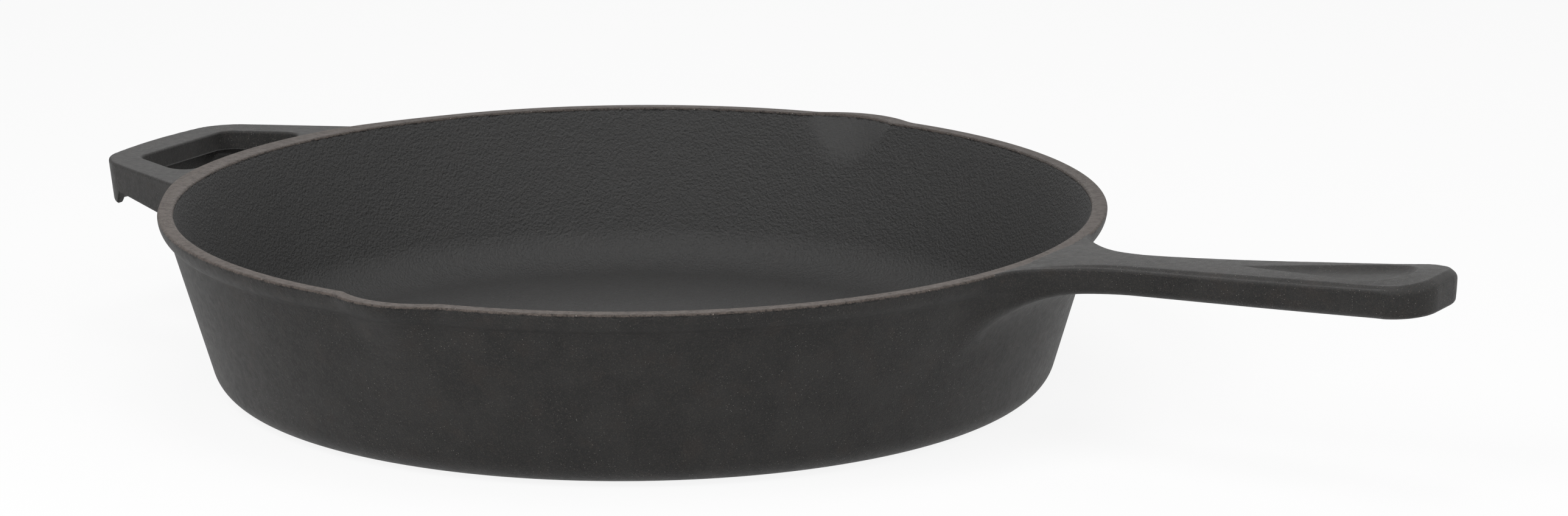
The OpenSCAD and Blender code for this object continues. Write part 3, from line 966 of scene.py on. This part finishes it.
class Paint(Nodes):
    """A material. Places are in metres, in the frame of the CAD model, so that a texture runs
    on from piece to piece."""

    def __init__(self, name):
        self.mat = bpy.data.materials.new(name)
        super().__init__(self.mat)
        self.shader = self.tree.nodes["Principled BSDF"]
        self.place = self.add("ShaderNodeTexCoord").outputs["Object"]
        xyz = self.add("ShaderNodeSeparateXYZ", {0: self.place}).outputs
        self.x, self.y, self.z = xyz[0], xyz[1], xyz[2]

    def step(self, value, lo, hi):
        """0 where value is at lo and 1 at hi, with a soft step between."""
        node = self.add(
            "ShaderNodeMapRange", {0: value, 1: lo, 2: hi}, interpolation_type="SMOOTHSTEP"
        )
        return node.outputs[0]

    def noise(self, size, detail, roughness, place=None):
        """Cloudy noise around 0.5, with lumps of about size mm."""
        inputs = {
            "Vector": place or self.place,
            "Scale": 1 / (size * MM),
            "Detail": detail,
            "Roughness": roughness,
        }
        return self.add("ShaderNodeTexNoise", inputs).outputs[0]

    def spots(self, size, radius, share):
        """1 in sparse round spots of a radius in mm. Cells are size mm, and a share of them
        holds a spot."""
        inputs = {"Vector": self.place, "Scale": 1 / (size * MM)}
        cells = self.add("ShaderNodeTexVoronoi", inputs).outputs
        dot = self.step(cells["Distance"], radius / size, 0.4 * radius / size)
        chance = self.add("ShaderNodeSeparateColor", {0: cells["Color"]}).outputs[0]
        return self.times(dot, self.math("GREATER_THAN", chance, 1 - share))

    def mask(self, name):
        return self.add("ShaderNodeAttribute", attribute_name=name).outputs["Fac"]

    def mix(self, share, a, b):
        node = self.add("ShaderNodeMix", data_type="RGBA")
        for socket, value in ((0, share), (6, a), (7, b)):
            self.feed(node.inputs[socket], value)
        return node.outputs[2]

    def fade(self, share):
        """1 where share is 0, and 0 where it is 1."""
        return self.minus(1.0, share)

    def bump(self, height):
        """Normal bent by a height in mm."""
        inputs = {"Height": height, "Distance": MM, "Strength": 1.0}
        return self.add("ShaderNodeBump", inputs).outputs[0]


def rgb(*values):
    return (*values, 1.0)


IRON = rgb(0.0125, 0.0122, 0.0119)
IRON_PALE = rgb(0.030, 0.0288, 0.0275)
IRON_BROWN = rgb(0.026, 0.0205, 0.0175)
RUSTY = rgb(0.052, 0.044, 0.039)
# painted sheen: a paler colour for the inside that stands in for the glossy highlights of its
# pebbled skin
INSIDE_PAINTED_SHEEN = rgb(0.046, 0.0458, 0.0455)
SPECK = rgb(0.34, 0.32, 0.30)
SOOT = rgb(0.004, 0.004, 0.004)
GROUND = rgb(0.074, 0.060, 0.052)
GROUND_PALE = rgb(0.130, 0.110, 0.098)
GROUND_DARK = rgb(0.034, 0.027, 0.023)

# noises: (size in mm, detail, roughness)
GRAIN = (0.30, 2.0, 0.7)
LUMPS = (0.95, 2.0, 0.6)
SWELL = (6.0, 2.0, 0.5)
TONES = (15.0, 4.0, 0.6)
BROWNS = (9.0, 3.0, 0.5)
RUST = (0.55, 2.0, 0.6)
PATCHES = (20.0, 2.0, 0.5)
CLOUDS = (2.2, 3.0, 0.5)
RAGS = (0.9, 3.0, 0.7)
BREAKS = (3.2, 3.0, 0.7)
STREAKS = (0.35, 2.0, 0.5)
METAL = (2.2, 4.0, 0.65)
PITS = (0.8, 2.0, 0.5)
# spots: (cell in mm, radius in mm, share of the cells that hold one)
SPECKS = (0.75, 0.125, 0.42)
NICKS = (1.2, 0.22, 0.35)
# the grain's values where its pale and its dark sides begin and are full
PALE_SIDE = (0.50, 0.68)
DARK_SIDE = (0.46, 0.30)
# relief in mm
GRAIN_H = 0.17
SWELL_H = 0.20
LUMP_H = 0.12
PEBBLE_H = 0.42
GROUND_H = 0.10
BROKEN_H = 0.15
# roughness and reflection of the seasoned skin
ROUGH = 0.42
ROUGH_INSIDE = 0.37
ROUGH_CLOUDS = 0.2
ROUGH_GROUND = 0.06
SHEEN = 0.22
# the ground face ends this far below the rim's top, outside and inside, with a ragged edge
GROUND_DROP_OUT = 0.65
GROUND_DROP_IN = 0.75
RAGGED = 1.3


def skin_height(p, grain, inside):
    """Relief of the cast skin in mm: sand grain outside, and pebbles inside, which fade out in
    the smoother scoops."""
    pebble = p.times(inside, p.fade(p.times(p.mask("scoop"), 0.75)))
    height = p.plus(p.times(grain, GRAIN_H), p.times(p.noise(*SWELL), SWELL_H))
    lump_h = p.plus(LUMP_H, p.times(pebble, PEBBLE_H))
    return p.plus(height, p.times(p.noise(*LUMPS), lump_h))


def skin_colour(p, grain, inside):
    """Seasoned iron with cloudy tones, dark and pale grains and sparse bright specks."""
    tone = p.step(p.noise(*TONES), 0.36, 0.66)
    colour = p.mix(p.times(tone, 0.45), IRON, IRON_PALE)
    brown = p.step(p.noise(*BROWNS), 0.54, 0.72)
    colour = p.mix(p.times(brown, 0.4), colour, IRON_BROWN)
    # painted sheen: the inside is painted paler, for the highlights of its pebbled skin
    colour = p.mix(p.times(inside, 0.8), colour, INSIDE_PAINTED_SHEEN)
    colour = p.mix(p.times(p.step(grain, *PALE_SIDE), 0.75), colour, IRON_PALE)
    colour = p.mix(p.times(p.step(grain, *DARK_SIDE), 0.6), colour, SOOT)
    rusty = p.times(p.step(p.noise(*RUST), 0.54, 0.64), p.fade(inside))
    colour = p.mix(p.times(rusty, 0.4), colour, RUSTY)
    # specks crowd in patches, and a quarter of them is left between the patches and inside
    patches = p.step(p.noise(*PATCHES), 0.42, 0.62)
    specks = p.times(p.spots(*SPECKS), p.plus(0.25, p.times(patches, 0.75)))
    specks = p.times(specks, p.fade(p.times(inside, 0.75)))
    return p.mix(p.times(specks, 0.75), colour, SPECK)


def ground_colour(p, grain, above, bare):
    """Metal ground bare on the rim's upper face, where above is the height in metres over the
    face's lower edge."""
    around = p.math("ARCTAN2", p.y, p.x)
    polar = p.add("ShaderNodeCombineXYZ", {0: p.times(around, 0.15), 1: p.times(p.z, 0.4)})
    # the streaks are drawn out along the rim
    streaks = p.noise(*STREAKS, polar.outputs[0])
    metal = p.mix(p.step(p.noise(*METAL), 0.42, 0.70), GROUND, GROUND_DARK)
    metal = p.mix(p.times(p.step(grain, *PALE_SIDE), 0.6), metal, GROUND_PALE)
    metal = p.mix(p.times(p.step(grain, *DARK_SIDE), 0.5), metal, GROUND_DARK)
    # painted shade: the face is darker towards the rear spout, where the light falls off
    shade_to_rear = p.step(p.y, -60 * MM, 120 * MM)
    metal = p.mix(p.times(shade_to_rear, 0.45), metal, GROUND_DARK)
    metal = p.mix(p.times(p.step(streaks, 0.58, 0.72), 0.3), metal, GROUND_DARK)
    # bright nicks and dark pits where the face turns over the outer edge
    turn = p.times(p.step(above, 0.85 * MM, 0.35 * MM), bare)
    metal = p.mix(p.times(p.times(p.spots(*NICKS), turn), 0.8), metal, SPECK)
    pits = p.step(p.noise(*PITS), 0.55, 0.66)
    return p.mix(p.times(pits, p.times(turn, 0.8)), metal, SOOT)


def grind(p, grain, inside, colour, height, rough):
    """Colour, height and roughness with the rim's upper face ground bare. A broken dark line
    runs along that face's ragged edge."""
    ragged = p.times(p.minus(p.noise(*RAGS), 0.5), RAGGED * MM)
    edge_out, edge_in = (PAN_H - GROUND_DROP_OUT) * MM, (PAN_H - GROUND_DROP_IN) * MM
    edge = p.plus(edge_out, p.times(inside, edge_in - edge_out))
    above = p.minus(p.plus(p.z, ragged), edge)
    bare = p.step(above, -0.15 * MM, 0.15 * MM)
    broken = p.step(p.noise(*BREAKS), 0.47, 0.60)
    line = p.times(p.step(above, -0.7 * MM, -0.3 * MM), p.fade(bare))
    colour = p.mix(p.times(line, p.times(broken, 0.85)), colour, SOOT)
    colour = p.mix(bare, colour, ground_colour(p, grain, above, bare))
    height = p.plus(height, p.times(bare, GROUND_H))
    height = p.minus(height, p.times(line, p.times(broken, BROKEN_H)))
    return colour, height, p.plus(rough, p.times(bare, ROUGH_GROUND))


def iron_material(name, ground):
    p = Paint(name)
    inside = p.mask("inside")
    grain = p.noise(*GRAIN)
    colour = skin_colour(p, grain, inside)
    height = skin_height(p, grain, inside)
    rough = p.plus(ROUGH, p.times(inside, ROUGH_INSIDE - ROUGH))
    rough = p.plus(rough, p.times(p.noise(*CLOUDS), ROUGH_CLOUDS))
    if ground:
        colour, height, rough = grind(p, grain, inside, colour, height, rough)
    p.feed(p.shader.inputs["Base Color"], colour)
    p.feed(p.shader.inputs["Roughness"], rough)
    p.feed(p.shader.inputs["Specular IOR Level"], SHEEN)
    p.feed(p.shader.inputs["Normal"], p.bump(height))
    return p.mat


iron = iron_material("seasoned_iron", False)
rim_iron = iron_material("rim_iron", True)
ground_pieces = ("handle_side_rim", "helper_side_rim", "front_pour_spout", "rear_pour_spout")
for node, piece in pieces.items():
    piece.data.materials.append(rim_iron if node in ground_pieces else iron)


# ---- floor, lights, camera ----
# half the floor's side and its gap under the pan in metres, and how much of its look is plain
# white
FLOOR_HALF = 6.0
FLOOR_GAP = 0.0004
FLOOR_GLOW = 0.88

# the camera at the photo's angle, in metres and degrees, and its lens in mm
CAMERA_PLACE = (0.88934, -1.41632, 0.43626)
CAMERA_TURN = (76.6214, 0.1394, 30.4368)
CAMERA_LENS = 122.56
SENSOR_W = 36

# softboxes: (name, azimuth round from the camera's, elevation, watts)
CAMERA_AZIMUTH = -59.6
SOFTBOX_SIDE = 0.7
SOFTBOX_AWAY = 1.3
SOFTBOXES = (
    ("overhead", 0, 88, 4.0),
    ("key", -45, 45, 9.0),
    ("fill", 45, 45, 3.0),
    ("front", 0, 22, 3.5),
    ("right", 90, 30, 3.0),
    ("behind", 180, 45, 2.0),
)
ROOM_LIGHT = 0.08


def build_stage():
    """A white floor. To the camera it is mostly plain white, and partly lit, which keeps the
    object's shadow."""
    mesh = bpy.data.meshes.new("floor_sheet")
    h = FLOOR_HALF
    mesh.from_pydata([(-h, -h, 0), (h, -h, 0), (h, h, 0), (-h, h, 0)], [], [(0, 1, 2, 3)])
    floor = add_object("floor_sheet", mesh)
    floor.location.z = -FLOOR_GAP
    mat = bpy.data.materials.new("floor_white")
    nodes = Nodes(mat)
    lit = nodes.tree.nodes["Principled BSDF"]
    lit.inputs["Base Color"].default_value = rgb(0.9, 0.9, 0.9)
    lit.inputs["Roughness"].default_value = 0.9
    lit.inputs["Specular IOR Level"].default_value = 0.0
    white = nodes.add("ShaderNodeEmission")
    nodes.show("Material Output", nodes.seen(FLOOR_GLOW), lit.outputs[0], white.outputs[0])
    mesh.materials.append(mat)


def build_camera():
    cam = bpy.data.cameras.new("camera")
    cam.sensor_width = SENSOR_W
    cam.lens = CAMERA_LENS
    cam.clip_end = 50
    eye = add_object("camera", cam)
    eye.location = CAMERA_PLACE
    eye.rotation_euler = [math.radians(angle) for angle in CAMERA_TURN]
    bpy.context.scene.camera = eye


def add_softbox(name, azimuth, elevation, power):
    lamp = bpy.data.lights.new(name, "AREA")
    lamp.shape = "SQUARE"
    lamp.size = SOFTBOX_SIDE
    lamp.energy = power
    box = add_object(name, lamp)
    turn, lift = math.radians(CAMERA_AZIMUTH + azimuth), math.radians(elevation)
    level = math.cos(lift)
    away = Vector((level * math.cos(turn), level * math.sin(turn), math.sin(lift)))
    box.location = SOFTBOX_AWAY * away
    box.rotation_euler = (-away).to_track_quat("-Z", "Y").to_euler()


def build_room():
    """A white room that is dimmer as a light than as a backdrop."""
    world = bpy.data.worlds.new("studio")
    bpy.context.scene.world = world
    nodes = Nodes(world)
    dim = nodes.tree.nodes["Background"]
    dim.inputs["Color"].default_value = rgb(1, 1, 1)
    dim.inputs["Strength"].default_value = ROOM_LIGHT
    white = nodes.add("ShaderNodeBackground", {"Color": rgb(1, 1, 1)})
    nodes.show("World Output", nodes.seen(1.0), dim.outputs[0], white.outputs[0])


build_stage()
build_camera()
build_room()
for softbox in SOFTBOXES:
    add_softbox(*softbox)
bpy.context.scene.view_settings.view_transform = "Standard"
